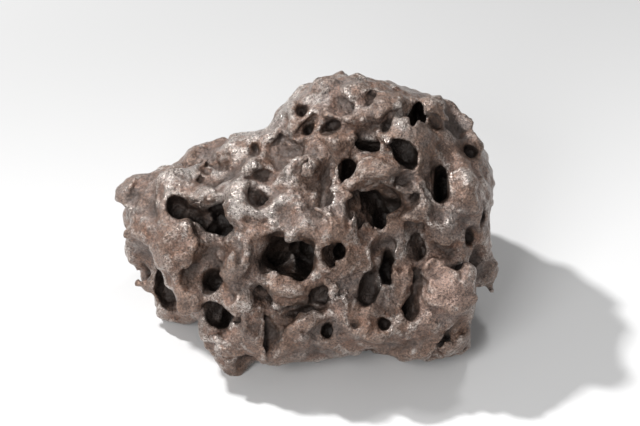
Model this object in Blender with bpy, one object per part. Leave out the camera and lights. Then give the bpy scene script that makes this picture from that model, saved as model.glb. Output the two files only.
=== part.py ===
"""Iron meteorite: one lump of nickel-iron, scalloped all over and eaten by deep holes.

Run it with blender --background --python part.py, or from Blender's text editor. Metres, +Z up. The
origin is on the floor, under the middle of the lump's box.

The broad pitted side leans back, so the shape is laid out on a drawing plane that leans the same way:
every place below is (across, up, out) in millimetres, where up runs along the leaning plane and out
stands square to it.

The lump is worked out as a field: roughly the distance to the iron's skin at every point of a grid, below
zero inside. Masses and bumps are joined to it and hollows are taken from it with soft edges, waves swell
and crease it, and the surface where it is zero becomes the mesh.
"""

import math

import bmesh
import bpy
import numpy as np
from mathutils import Euler, Matrix, Vector

MM = 0.001

# Driving dimensions.
LEAN = 45.0  # degrees between the drawing plane and the floor's normal
ORIGIN_HEIGHT = 84.0  # mm from the floor to the drawing plane's origin
SKIN_STEP = 2.0  # mm between the grid's points for the finished skin
SKIN_ROUNDS = 2  # of smoothing
TRIANGLES = 9600  # of the finished solid, before its feet are cut flat
FLOOR_CUT = 2.0  # m, the side of the block that cuts the feet flat
CRUST = (0.105, 0.075, 0.058, 1.0)  # colour of the oxidised iron, linear

# The masses that the lump is made of: (across, up, out), (half sizes), turn in degrees about out.
LUMPS = (
    ((0, -12, 0), (130, 76, 70), 4),  # core
    ((62, 40, -2), (74, 72, 74), 0),  # high dome
    ((5, 69, -4), (28, 35, 44), 0),  # shoulder of the dome
    ((38, 91, 2), (38, 26, 38), -8),  # top of the dome
    ((99, 66, 4), (31, 28, 40), 0),
    ((114, 12, 10), (35, 56, 52), 0),  # right end
    ((-78, 6, -4), (71, 44, 50), 8),  # left block
    ((-38, 43, -14), (46, 31, 40), 20),  # slope between the left block and the dome
    ((-106, -22, 24), (18, 50, 26), 8),  # ridge at the front of the left block
    ((25, -65, 14), (106, 47, 44), 0),  # brow over the floor
    ((-20, -88, 12), (50, 24, 30), 0),
    ((93, -73, 12), (33, 23, 30), 0),
    ((-58, -82, 12), (19, 30, 24), -25),  # front foot
    ((-57, -105, 3), (11, 13, 12), 0),
    ((-98, -61, -32), (29, 23, 24), 0),  # left ledge, which stands on the floor
    ((-110, -44, -22), (25, 24, 26), 0),
    ((-127, 12, -14), (25, 28, 34), 0),  # knobs of the left end
    ((-132, -16, -12), (19, 20, 30), 0),
    ((127, 42, 0), (19, 28, 36), 0),
    ((112, -55, 28), (24, 30, 26), 0),  # big knob, low on the right
    ((136, -38, -2), (23, 26, 24), 0),
    ((101, -88, 22), (26, 15, 18), 0),
    ((122, -90, 4), (10, 15, 14), 15),
    ((-60, 26, -49), (58, 40, 46), 0),  # hidden back
    ((60, 29, -56), (62, 46, 46), 0),
    ((71, -4, -85), (26, 24, 24), 0),  # rear feet
    ((-56, -12, -80), (27, 26, 24), 0),
    ((80, -66, -28), (32, 30, 30), 0),  # right foot
)

# Rounded bumps of the pitted side: (across, up), (wide, tall), high.
BUMPS = (
    ((16, 107), (24, 20), 6),  # top of the dome
    ((37, 105), (20, 28), 6),
    ((65, 95), (24, 24), 5),
    ((107, 88), (32, 34), 9),
    ((22, 84), (13, 15), 7),
    ((24, 63), (16, 16), 6),
    ((117, 65), (26, 18), 6),
    ((60, 40), (34, 16), 8),
    ((126, 11), (15, 22), 4),
    ((122, 40), (14, 40), 7),  # ridge beside the tall hole
    ((39, -22), (28, 22), 7),
    ((-1, 38), (34, 30), 13),  # nose
    ((90, -84), (28, 24), 7),
    ((27, -57), (26, 18), 7),
    ((110, -51), (50, 46), 8),  # boss
    ((50, -42), (36, 40), 7),
    ((74, -40), (14, 44), 4),
    ((-12, -50), (30, 16), 11),  # lip of the large hollow
    ((-54, -30), (26, 36), 13),
    ((-52, -60), (26, 20), 10),
    ((-96, -22), (34, 46), 9),
    ((-90, -60), (30, 26), 11),
    ((-46, -88), (30, 24), 6),
    ((45, -88), (40, 20), 6),
    ((-4, -84), (26, 24), 6),
    ((-136, 22), (18, 30), 5),  # left end
    ((-139, -14), (14, 22), 5),
    ((-66, 54), (24, 16), 3),  # slope above the left block
    ((-38, 44), (22, 16), 7),
    ((-26, 66), (22, 14), 5),
    ((-100, 36), (34, 16), 5),
    ((-50, 22), (26, 20), 5),
)

# The scoops and holes of the pitted side: (across, up), (wide, tall), turn, deep, (right, down), where
# right and down say how far more than the others it drifts for each millimetre that it goes in.
SCOOPS = (
    ((-84, 3), (46, 18), -22, 12, (0, 0)),
    ((-131, 18), (9, 24), 38, 7, (0, 0)),
    ((-142, -5), (12, 8), 0, 7, (0, 0)),
    ((-69, 16), (14, 10), 0, 5, (0, 0)),
    ((-48, 1), (14, 10), 20, 4, (0, 0)),
    ((-8, 60), (14, 11), 0, 4, (0, 0)),
    ((18, 38), (28, 22), 22, 9, (0, 0)),
    ((-16, -29), (54, 36), 5, 17, (0, 0)),
    ((61, 14), (48, 30), 8, 13, (0, 0)),
    ((49, 72), (28, 32), 0, 9, (0, 0)),
    ((108, 85), (28, 26), 0, 7, (0, 0)),
    ((80, 34), (18, 18), 0, 7, (0, 0)),
    ((102, 8), (20, 20), 0, 5, (0, 0)),
    ((126, 11), (13, 20), -8, 4, (0, 0)),
    ((121, -5), (9, 13), 0, 4, (0, 0)),
    ((62, -14), (10, 16), 5, 4, (0, 0)),
    ((106, -21), (22, 8), 0, 5, (0, 0)),
    ((120, -32), (7, 18), 0, 2, (0, 0)),
    ((129, -32), (7, 16), 0, 2, (0, 0)),
    ((-34, -60), (20, 16), 0, 9, (0, 0)),
    ((-74, -47), (30, 26), 0, 14, (0.2, 0)),
    ((-66, -77), (20, 30), -15, 13, (0.2, 0)),
    ((-95, -65), (14, 12), 0, 5, (0, 0)),
    ((-112, -56), (12, 20), 0, 9, (0, 0)),
    ((-44, -82), (16, 20), 0, 3, (0, 0)),
    ((86, -56), (10, 44), -8, 8, (0, 0)),
    ((81, -68), (13, 17), 0, 12, (0, 0)),
    ((89, -3), (16, 12), 10, 5, (0, 0)),
    ((89, -87), (26, 27), 0, 4, (0, 0)),
    ((116, -93), (16, 24), 20, 9, (0, 0)),
    ((140, 14), (7, 34), 0, 6, (0, 0)),
    ((10, -108), (14, 8), 0, 6, (0, 0)),
    ((9, -86), (16, 16), 0, 6, (0, 0)),
    ((-78, -30), (14, 26), 10, 6, (0, 0)),
    ((-26, -74), (14, 16), 0, 3, (0, 0)),
    ((62, -68), (26, 12), -10, 7, (0, 0)),
    ((84, 20), (20, 14), 30, 6, (0, 0)),
    ((16, 20), (24, 14), 20, 6, (0, 0)),
)
HOLES = (
    ((-101, 9), (21, 22), 0, 17, (0.2, 0.3)),
    ((-84, 3), (30, 11), -22, 15, (0.2, 0.5)),
    ((-68, -5), (28, 17), 22, 24, (0.1, 0.6)),
    ((-36, 20), (14, 19), 0, 17, (0.4, 0.4)),
    ((34, 38), (18, 26), 0, 30, (0, 0)),
    ((49, 58), (26, 13), 0, 18, (0, 0.2)),
    ((78, 53), (20, 14), -20, 16, (0.1, 0.2)),
    ((64, 74), (9, 10), -20, 6, (0.2, 0.2)),
    ((87, 82), (16, 34), -12, 34, (-0.1, -0.15)),
    ((102, 77), (10, 11), 0, 8, (0, 0)),
    ((131, 57), (14, 15), 0, 11, (-0.3, 0.1)),
    ((106, 29), (14, 38), 0, 32, (0, 0)),
    ((62, 12), (32, 20), 5, 16, (0, 0)),
    ((-18, -30), (30, 26), 0, 15, (0.1, 0)),
    ((-1, -29), (23, 36), 0, 34, (-0.1, 0)),
    ((27, -21), (15, 18), 0, 28, (0, 0)),
    ((63, -36), (12, 32), 0, 28, (-0.1, 0)),
    ((90, -24), (14, 20), 0, 13, (0.5, 0)),
    ((49, -54), (12, 14), -40, 12, (0.1, 0.1)),
    ((9, -58), (18, 15), 0, 7, (0.1, 0)),
    ((18, -88), (14, 17), 0, 16, (0.1, 0.1)),
    ((28, -88), (12, 9), 0, 4, (0, 0)),
    ((40, -82), (10, 8), 0, 5, (0, 0)),
    ((53, -87), (9, 9), 0, 6, (0, 0)),
    ((62, -80), (15, 16), -35, 10, (0.1, 0)),
    ((-3, -86), (9, 6), 0, 6, (0, 0)),
    ((130, -12), (12, 18), 10, 12, (-0.2, 0.1)),
    ((-3, 87), (11, 12), 0, 9, (0, 0.5)),
    ((2, 73), (12, 12), 0, 14, (0, 0.3)),
    ((22, 76), (16, 12), 0, 13, (0, 0.2)),
    ((-42, 58), (8, 8), 0, 6, (0, 0)),
    ((-16, 48), (6, 5), 0, 5, (0, 0)),
    ((-127, -42), (12, 7), 0, 4, (0, 0)),
    ((-72, -50), (20, 15), 0, 16, (0, 0)),
    ((-62, -78), (13, 18), 0, 12, (0, 0)),
)

# The grid.
REACH = ((-176.0, 176.0), (-140.0, 136.0), (-132.0, 120.0))  # mm, the box that it fills
PLAN_STEP = 3.0  # mm between its points while the hollows are placed
FAR = 60.0  # mm, the distance that the empty grid starts with
MARGIN = 14.0  # mm around a mass or a hollow that its soft edge may change
TINY = 1e-12  # keeps a division off zero in a hollow's very middle
SEED = 5

# Waves of the skin, as (size, height), and of the hollows' outlines, as (size, how far they shift).
SWELLS = ((46.0, 3.0), (24.0, 4.0), (13.0, 1.6))
CREASES = ((17.0, 1.2), (8.0, 0.6))
BENDS = ((21.0, 2.4), (9.0, 0.8))
WAVE_GAIN = 2.5  # brings a wave of random knots to about -1 to 1
CREASE_GAIN = 3.0

# How softly masses, bumps and hollows meet the skin, in mm.
MASS_BLEND = 10.0
BUMP_BLEND = 4.0
SCOOP_BLEND = 5.0
RIM_BLEND = 3.0
HOLE_BLEND = 1.6

# The front's hollows. A scoop's floor falls to the lower right, and a hole drifts that way as it goes in.
STRAIGHT_IN = 0.6  # share of the drawing plane's direction in the way that a hollow goes in
SKIN_IN = 0.5  # share of the skin's own direction
SCOOP_TILT = -0.45
SCOOP_TRIM = 0.86  # of its size, which the soft edge gives back
SCOOP_OPENNESS = 0.55  # how far its ellipsoid's middle stands out of its mouth, as a share of its half depth
HOLE_TILT = 0.15
HOLE_TRIM = 0.92
HOLE_OPENNESS = 0.15
HOLE_RETURN = 0.3  # share of the drift that moves the mouth back
BOWL = 1.2  # how much wider than a hole the bowl around its mouth is
BOWL_SHIFT = 0.28  # how far the bowl lies to the upper left, as a share of the hole's size
BOWL_DEPTHS = (2.0, 0.1, 4.5)  # mm at least, more for each mm of the hole, and mm at most

# Dishes all over: (tries, (narrowest, widest), depth for each mm of width, blend, calm on the front).
DISHES = ((900, (20.0, 38.0), 0.24, 2.5, 0.85), (2600, (9.0, 18.0), 0.16, 1.6, 0.3))
DISH_OPENNESS = 0.7
FRONT_GAIN = 2.2  # how soon a turn to the front calms the dishes
DISH_SPACING = 0.4  # of two neighbours' widths together
DISH_LEAST = 0.6  # share of its depth that the shallowest dish has

# Deep pits on the sides that face away.
PIT_TRIES = 260
PIT_WIDTHS = (9, 12, 16, 22, 30)  # mm
PIT_TALLS = (0.7, 1.3)  # of its width
PIT_DEPTHS = (0.3, 1.0)
PIT_TURNS = (0, 90)  # degrees
PIT_FACING = -0.05  # how far a pit's skin may face the front, from -1 to 1
PIT_SPACING = 0.6
PIT_OPENNESS = 0.2
PIT_DRIFT = 0.3
PIT_BOWL = 1.4
PIT_BOWL_DEPTHS = (3.0, 0.3)  # mm, and more for each mm of the pit

# Where the lines that look for the skin all round start: (across, up, out) in mm.
AROUND = (168.0, 131.0, 117.0)


class Grid:
    """Points at an even step in the box REACH, with the field's value at each of them."""

    def __init__(self, step):
        self.step = step
        self.axes = [np.arange(low, high, step) for low, high in REACH]
        self.field = np.full([len(axis) for axis in self.axes], FAR, dtype=np.float32)
        self.bends = []

    def join(self, shape, blend):
        spans, other = self.distances(shape)
        self.field[spans] = soft_least(self.field[spans], other, blend)

    def take(self, shape, blend):
        spans, other = self.distances(shape)
        self.field[spans] = -soft_least(-self.field[spans], other, blend)

    def distances(self, shape):
        """The part of the grid near an ellipsoid, and roughly how far its points are from it."""
        centre, half_sizes, turn = shape
        reach = max(half_sizes) + MARGIN
        spans = []
        for axis, middle in zip(self.axes, centre):
            spans.append(slice(*np.searchsorted(axis, (middle - reach, middle + reach))))
        spans = tuple(spans)
        apart = [axis[span] - middle for axis, span, middle in zip(self.axes, spans, centre)]
        apart = np.meshgrid(*apart, indexing="ij", sparse=True)
        if self.bends:
            apart = [part + bend[spans] for part, bend in zip(apart, self.bends)]
        near = slope = 0
        for direction, half in zip(np.array(turn.transposed()), half_sizes):
            along = sum(share * part for share, part in zip(direction, apart)) / half
            near = near + along**2
            slope = slope + (along / half) ** 2
        near = np.sqrt(near)
        return spans, near * (near - 1) / np.sqrt(slope + TINY)

    def wave(self, size, rng):
        """Smooth random values, mostly from -1 to 1, that change over a size: a spline through knots."""
        shares = []
        for (low, high), axis in zip(REACH, self.axes):
            knots = np.arange(low - 2 * size, high + 2 * size, size)
            apart = np.abs(axis[:, None] - knots) / size
            close = 2 / 3 - apart**2 + apart**3 / 2
            shares.append(np.where(apart < 1, close, np.clip(2 - apart, 0, 2) ** 3 / 6))
        values = rng.uniform(-1, 1, [share.shape[1] for share in shares])
        for share in shares:
            values = np.tensordot(values, share, (0, 1))
        return (WAVE_GAIN * values).astype(np.float32)

    def value(self, place):
        spot = [int(round((at - axis[0]) / self.step)) for at, axis in zip(place, self.axes)]
        return float(self.field[tuple(spot)])

    def outward(self, place):
        """The way that the skin near a place faces."""
        slope = Vector()
        for number in range(3):
            ahead = Vector(place)
            ahead[number] += 2 * self.step
            behind = Vector(place)
            behind[number] -= 2 * self.step
            slope[number] = self.value(ahead) - self.value(behind)
        return slope.normalized()

    def front(self, across, up):
        """The place on the skin that the front shows at (across, up), and the way that it faces."""
        column = [int(round((at - axis[0]) / self.step)) for at, axis in zip((across, up), self.axes)]
        line = self.field[column[0], column[1]]
        last = np.flatnonzero(line < 0)[-1]
        out = self.axes[2][last] + self.step * line[last] / (line[last] - line[last + 1])
        place = Vector((across, up, out))
        return place, self.outward(place)

    def around(self, mark):
        """The place on the skin that a line from far off in the direction of mark meets first."""
        if mark.length > 1:
            return None
        start = Vector(AROUND) * mark.normalized()
        for share in np.linspace(1, 0, int(AROUND[0])):
            place = start * share
            if self.value(place) < 0:
                return place, self.outward(place)
        return None

    def skin(self):
        """Points and four-sided faces of the zero surface: a point for each cell that it crosses."""
        inside = self.field < 0
        crossings, corners = [], []
        for number in range(3):
            along = np.roll((1, 0, 0), number)
            side, above = np.roll(along, 1), np.roll(along, 2)
            start = np.argwhere(np.diff(inside, axis=number))
            before, after = self.field[tuple(start.T)], self.field[tuple((start + along).T)]
            crossings.append(start + (before / (before - after))[:, None] * along)
            cells = np.stack([start - side - above, start - above, start, start - side], axis=1)
            backward = ~inside[tuple(start.T)]
            cells[backward] = cells[backward][:, ::-1]
            corners.append(cells)
        crossings, corners = np.concatenate(crossings), np.concatenate(corners)
        cells = np.ravel_multi_index(corners.reshape(-1, 3).T, self.field.shape)
        _, faces = np.unique(cells, return_inverse=True)
        faces = faces.reshape(-1)
        points = [np.bincount(faces, np.repeat(line, 4)) / np.bincount(faces) for line in crossings.T]
        low_corner = [low for low, high in REACH]
        return np.stack(points, axis=1) * self.step + low_corner, faces.reshape(-1, 4)


def soft_least(first, second, blend):
    """The smaller of two fields, rounded off where they are alike."""
    share = np.clip(0.5 + 0.5 * (first - second) / blend, 0, 1)
    return first + share * (second - first) - blend * share * (1 - share)


def turned(degrees):
    return Matrix.Rotation(math.radians(degrees), 3, "Z")


def hollow(mouth, inward, size, turn, openness):
    """The ellipsoid of a hollow with its mouth in the skin, as its middle, half sizes and turn."""
    wide, tall, deep = size
    reach = deep / (1 - openness)
    spread = 0.5 / math.sqrt(1 - openness**2)
    swing = Vector((0, 0, -1)).rotation_difference(inward).to_matrix()
    return mouth - inward * reach * openness, (wide * spread, tall * spread, reach), swing @ turned(turn)


def front_hollow(grid, place, size, turn, drift, openness):
    mouth, outward = grid.front(*place)
    right, down = drift
    inward = Vector((right, -down, -STRAIGHT_IN)) - outward * SKIN_IN
    return hollow(mouth, inward.normalized(), size, turn, openness)


def bump(grid, place, size):
    middle, outward = grid.front(*place)
    wide, tall, high = size
    swing = Vector((0, 0, 1)).rotation_difference(outward).to_matrix()
    return middle, (wide / 2, tall / 2, high), swing


class Plan:
    """The bumps and hollows in the order in which they are made, placed on a coarse grid."""

    def __init__(self):
        rng = np.random.default_rng(SEED)
        self.steps = []
        self.grid = Grid(PLAN_STEP)
        shape_masses(self.grid, rng)
        self.add_bumps()
        self.add_scoops()
        self.add_holes()
        for dishes in DISHES:
            self.add_dishes(*dishes, rng)
        self.add_pits(rng)

    def join(self, shape, blend):
        self.steps.append((True, shape, blend))
        self.grid.join(shape, blend)

    def take(self, shape, blend):
        self.steps.append((False, shape, blend))
        self.grid.take(shape, blend)

    def add_bumps(self):
        for place, (wide, tall), high in BUMPS:
            self.join(bump(self.grid, place, (wide, tall, high)), BUMP_BLEND)

    def add_scoops(self):
        for place, (wide, tall), turn, deep, (right, down) in SCOOPS:
            size = (wide * SCOOP_TRIM, tall * SCOOP_TRIM, deep)
            tilt = (right + SCOOP_TILT, down + SCOOP_TILT)
            self.take(front_hollow(self.grid, place, size, turn, tilt, SCOOP_OPENNESS), SCOOP_BLEND)

    def add_holes(self):
        least, more, most = BOWL_DEPTHS
        bowls = []
        for (across, up), (wide, tall), turn, deep, drift in HOLES:
            place = (across - BOWL_SHIFT * wide, up + BOWL_SHIFT * tall)
            size = (wide * BOWL, tall * BOWL, min(most, least + more * deep))
            tilt = (SCOOP_TILT, SCOOP_TILT)
            bowls.append(front_hollow(self.grid, place, size, turn, tilt, SCOOP_OPENNESS))
        for bowl in bowls:
            self.take(bowl, SCOOP_BLEND)
        for (across, up), (wide, tall), turn, deep, (right, down) in HOLES:
            size = (wide * HOLE_TRIM, tall * HOLE_TRIM, deep)
            tilt = (right + HOLE_TILT, down + HOLE_TILT)
            back = deep * HOLE_RETURN
            place = (across - tilt[0] * back, up + tilt[1] * back)
            self.take(front_hollow(self.grid, place, size, turn, tilt, HOLE_OPENNESS), HOLE_BLEND)

    def add_dishes(self, tries, widths, steepness, blend, calm, rng):
        taken = []
        for mark, lot in zip(rng.uniform(-1, 1, (tries, 3)), rng.uniform(0, 1, (tries, 2))):
            found = self.grid.around(Vector(mark))
            width = between(widths, lot[0])
            if found is None or crowded(found[0], width, taken, DISH_SPACING):
                continue
            place, outward = found
            taken.append((place, width))
            deep = width * steepness * between((DISH_LEAST, 1), lot[1])
            deep *= 1 - calm * min(max(0.0, FRONT_GAIN * outward.z), 1)
            self.take(hollow(place, -outward, (width, width, deep), 0, DISH_OPENNESS), blend)

    def add_pits(self, rng):
        taken = []
        least, more = PIT_BOWL_DEPTHS
        for mark, lot in zip(rng.uniform(-1, 1, (PIT_TRIES, 3)), rng.uniform(0, 1, (PIT_TRIES, 4))):
            found = self.grid.around(Vector(mark))
            wide = PIT_WIDTHS[int(lot[0] * len(PIT_WIDTHS))]
            if found is None or found[1].z > PIT_FACING or crowded(found[0], wide, taken, PIT_SPACING):
                continue
            place, outward = found
            taken.append((place, wide))
            tall = wide * between(PIT_TALLS, lot[1])
            deep = wide * between(PIT_DEPTHS, lot[2])
            turn = between(PIT_TURNS, lot[3])
            drift = PIT_DRIFT * lot[3]
            inward = (Vector((drift, -drift, 0)) - outward).normalized()
            bowl = (wide * PIT_BOWL, tall * PIT_BOWL, least + more * deep)
            self.take(hollow(place, inward, bowl, turn, SCOOP_OPENNESS), RIM_BLEND)
            self.take(hollow(place, inward, (wide, tall, deep), turn, PIT_OPENNESS), HOLE_BLEND)


def between(limits, share):
    low, high = limits
    return low + (high - low) * share


def crowded(place, width, taken, spacing):
    return any((place - other).length < (width + room) * spacing for other, room in taken)


def shape_masses(grid, rng):
    for centre, half_sizes, turn in LUMPS:
        grid.join((centre, half_sizes, turned(turn)), MASS_BLEND)
    for size, height in SWELLS:
        grid.field += height * grid.wave(size, rng)
    grid.bends = [sum(far * grid.wave(size, rng) for size, far in BENDS) for number in range(3)]


def crease(grid, rng):
    """Lays rounded lumps with sharp valleys between them over skin and hollows alike."""
    for size, height in CREASES:
        grid.field -= height * (CREASE_GAIN * np.abs(grid.wave(size, rng)) - 1)


def shape_lump(step, rounds):
    plan = Plan()
    grid = Grid(step)
    shape_masses(grid, np.random.default_rng(SEED))
    for joined, shape, blend in plan.steps:
        if joined:
            grid.join(shape, blend)
        else:
            grid.take(shape, blend)
    crease(grid, np.random.default_rng(SEED + 1))
    points, faces = grid.skin()
    mesh = bpy.data.meshes.new("meteorite")
    mesh.from_pydata((points * MM).tolist(), [], faces.tolist())
    lump = bpy.data.objects.new("meteorite", mesh)
    bpy.context.scene.collection.objects.link(lump)
    remesh(lump, step, rounds)
    keep_largest_piece(lump)
    return lump


def remesh(obj, step, rounds):
    """Gives obj one even closed skin, smoothed a little."""
    skin = obj.modifiers.new("skin", "REMESH")
    skin.mode = "VOXEL"
    skin.voxel_size = step * MM
    soften = obj.modifiers.new("soften", "SMOOTH")
    soften.factor = 0.5
    soften.iterations = rounds
    graph = bpy.context.evaluated_depsgraph_get()
    mesh = bpy.data.meshes.new_from_object(obj.evaluated_get(graph))
    obj.modifiers.clear()
    obj.data = mesh


def keep_largest_piece(obj):
    """Deletes what the holes have cut off from the main body."""
    bm = bmesh.new()
    bm.from_mesh(obj.data)
    waiting = set(bm.verts)
    pieces = []
    while waiting:
        piece = set()
        front = [waiting.pop()]
        while front:
            vertex = front.pop()
            piece.add(vertex)
            for edge in vertex.link_edges:
                other = edge.other_vert(vertex)
                if other in waiting:
                    waiting.remove(other)
                    front.append(other)
        pieces.append(piece)
    pieces.sort(key=len)
    for piece in pieces[:-1]:
        bmesh.ops.delete(bm, geom=list(piece), context="VERTS")
    bm.to_mesh(obj.data)
    bm.free()


def stand_on_floor(lump):
    """Leans the lump back, centres it over the origin and cuts its feet flat at the floor."""
    tilt = Euler((math.radians(90 - LEAN), 0, 0))
    places = [tilt.to_matrix() @ vertex.co for vertex in lump.data.vertices]
    middle_x = (min(place.x for place in places) + max(place.x for place in places)) / 2
    middle_y = (min(place.y for place in places) + max(place.y for place in places)) / 2
    lump.rotation_euler = tilt
    lump.location = (-middle_x, -middle_y, ORIGIN_HEIGHT * MM)

    block = bmesh.new()
    bmesh.ops.create_cube(block, size=FLOOR_CUT, matrix=Matrix.Translation((0, 0, -FLOOR_CUT / 2)))
    mesh = bpy.data.meshes.new("floor_cut")
    block.to_mesh(mesh)
    block.free()
    cutter = bpy.data.objects.new("floor_cut", mesh)
    bpy.context.scene.collection.objects.link(cutter)
    cutter.hide_render = True
    cutter.display_type = "WIRE"
    flat = lump.modifiers.new("feet", "BOOLEAN")
    flat.operation = "DIFFERENCE"
    flat.solver = "EXACT"
    flat.object = cutter


def crust_material():
    material = bpy.data.materials.new("iron_crust")
    material.use_nodes = True
    shader = material.node_tree.nodes["Principled BSDF"]
    shader.inputs["Base Color"].default_value = CRUST
    shader.inputs["Roughness"].default_value = 0.5
    shader.inputs["Metallic"].default_value = 0.3
    return material


def main():
    for obj in list(bpy.data.objects):
        bpy.data.objects.remove(obj)
    lump = shape_lump(SKIN_STEP, SKIN_ROUNDS)
    lump.data.materials.append(crust_material())
    facets = lump.modifiers.new("facets", "DECIMATE")
    facets.ratio = TRIANGLES / (2 * len(lump.data.polygons))
    stand_on_floor(lump)


main()
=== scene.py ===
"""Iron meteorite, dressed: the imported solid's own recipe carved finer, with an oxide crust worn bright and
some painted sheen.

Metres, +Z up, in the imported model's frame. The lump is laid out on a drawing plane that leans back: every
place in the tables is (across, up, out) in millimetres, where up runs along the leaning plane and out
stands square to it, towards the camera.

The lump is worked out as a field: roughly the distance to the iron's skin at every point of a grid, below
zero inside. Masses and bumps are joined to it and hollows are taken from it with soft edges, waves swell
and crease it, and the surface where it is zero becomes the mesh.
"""

import math

import bmesh
import bpy
import numpy as np
from mathutils import Euler, Matrix, Vector
from mathutils.bvhtree import BVHTree


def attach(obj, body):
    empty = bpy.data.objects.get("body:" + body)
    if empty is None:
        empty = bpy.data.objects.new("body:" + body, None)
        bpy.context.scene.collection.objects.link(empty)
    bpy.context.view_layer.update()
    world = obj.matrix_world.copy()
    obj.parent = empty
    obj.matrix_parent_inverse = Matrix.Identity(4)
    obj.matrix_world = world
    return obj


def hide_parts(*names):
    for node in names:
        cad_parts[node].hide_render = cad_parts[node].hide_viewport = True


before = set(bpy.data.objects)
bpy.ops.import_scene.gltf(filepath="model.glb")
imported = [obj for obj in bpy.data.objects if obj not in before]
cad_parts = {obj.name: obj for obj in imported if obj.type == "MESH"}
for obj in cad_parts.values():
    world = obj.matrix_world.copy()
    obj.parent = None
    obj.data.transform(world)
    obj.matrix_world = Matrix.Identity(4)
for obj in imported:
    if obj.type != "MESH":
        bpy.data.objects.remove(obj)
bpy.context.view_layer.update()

MM = 0.001

# Driving dimensions, the first two as in the solid.
LEAN = 45.0  # degrees between the drawing plane and the floor's normal
ORIGIN_HEIGHT = 84.0  # mm from the floor to the drawing plane's origin
SKIN_STEP = 1.25  # mm between the grid's points for the finished skin
SKIN_ROUNDS = 1  # of smoothing
SKIN_SOFTNESS = 0.5  # how far a round moves a point to the middle of its neighbours, from 0 to 1
TRIANGLES = 192000  # about as many as the thinning leaves
FLOOR_CUT = 2.0  # m, the side of the block that cuts the feet flat

# The masses that the lump is made of: (across, up, out), (half sizes), turn in degrees about out.
LUMPS = (
    ((0, -12, 0), (130, 76, 70), 4),  # core
    ((62, 40, -2), (74, 72, 74), 0),  # high dome
    ((5, 69, -4), (28, 35, 44), 0),  # shoulder of the dome
    ((38, 91, 2), (38, 26, 38), -8),  # top of the dome
    ((99, 66, 4), (31, 28, 40), 0),
    ((114, 12, 10), (35, 56, 52), 0),  # right end
    ((-78, 6, -4), (71, 44, 50), 8),  # left block
    ((-38, 43, -14), (46, 31, 40), 20),  # slope between the left block and the dome
    ((-106, -22, 24), (18, 50, 26), 8),  # ridge at the front of the left block
    ((25, -65, 14), (106, 47, 44), 0),  # brow over the floor
    ((-20, -88, 12), (50, 24, 30), 0),
    ((93, -73, 12), (33, 23, 30), 0),
    ((-58, -82, 12), (19, 30, 24), -25),  # front foot
    ((-57, -105, 3), (11, 13, 12), 0),
    ((-98, -61, -32), (29, 23, 24), 0),  # left ledge, which stands on the floor
    ((-110, -44, -22), (25, 24, 26), 0),
    ((-127, 12, -14), (25, 28, 34), 0),  # knobs of the left end
    ((-132, -16, -12), (19, 20, 30), 0),
    ((127, 42, 0), (19, 28, 36), 0),
    ((112, -55, 28), (24, 30, 26), 0),  # big knob, low on the right
    ((136, -38, -2), (23, 26, 24), 0),
    ((101, -88, 22), (26, 15, 18), 0),
    ((122, -90, 4), (10, 15, 14), 15),
    ((-60, 26, -49), (58, 40, 46), 0),  # hidden back
    ((60, 29, -56), (62, 46, 46), 0),
    ((71, -4, -85), (26, 24, 24), 0),  # rear feet
    ((-56, -12, -80), (27, 26, 24), 0),
    ((80, -66, -28), (32, 30, 30), 0),  # right foot
)

# Rounded bumps of the pitted side: (across, up), (wide, tall), high.
BUMPS = (
    ((16, 107), (24, 20), 6),  # top of the dome
    ((37, 105), (20, 28), 6),
    ((65, 95), (24, 24), 5),
    ((107, 88), (32, 34), 9),
    ((22, 84), (13, 15), 7),
    ((24, 63), (16, 16), 6),
    ((117, 65), (26, 18), 6),
    ((60, 40), (34, 16), 8),
    ((126, 11), (15, 22), 4),
    ((122, 40), (14, 40), 7),  # ridge beside the tall hole
    ((39, -22), (28, 22), 7),
    ((-1, 38), (34, 30), 13),  # nose
    ((90, -84), (28, 24), 7),
    ((27, -57), (26, 18), 7),
    ((110, -51), (50, 46), 8),  # boss
    ((50, -42), (36, 40), 7),
    ((74, -40), (14, 44), 4),
    ((-12, -50), (30, 16), 11),  # lip of the large hollow
    ((-54, -30), (26, 36), 13),
    ((-52, -60), (26, 20), 10),
    ((-96, -22), (34, 46), 9),
    ((-90, -60), (30, 26), 11),
    ((-46, -88), (30, 24), 6),
    ((45, -88), (40, 20), 6),
    ((-4, -84), (26, 24), 6),
    ((-136, 22), (18, 30), 5),  # left end
    ((-139, -14), (14, 22), 5),
    ((-66, 54), (24, 16), 3),  # slope above the left block
    ((-38, 44), (22, 16), 7),
    ((-26, 66), (22, 14), 5),
    ((-100, 36), (34, 16), 5),
    ((-50, 22), (26, 20), 5),
)

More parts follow.
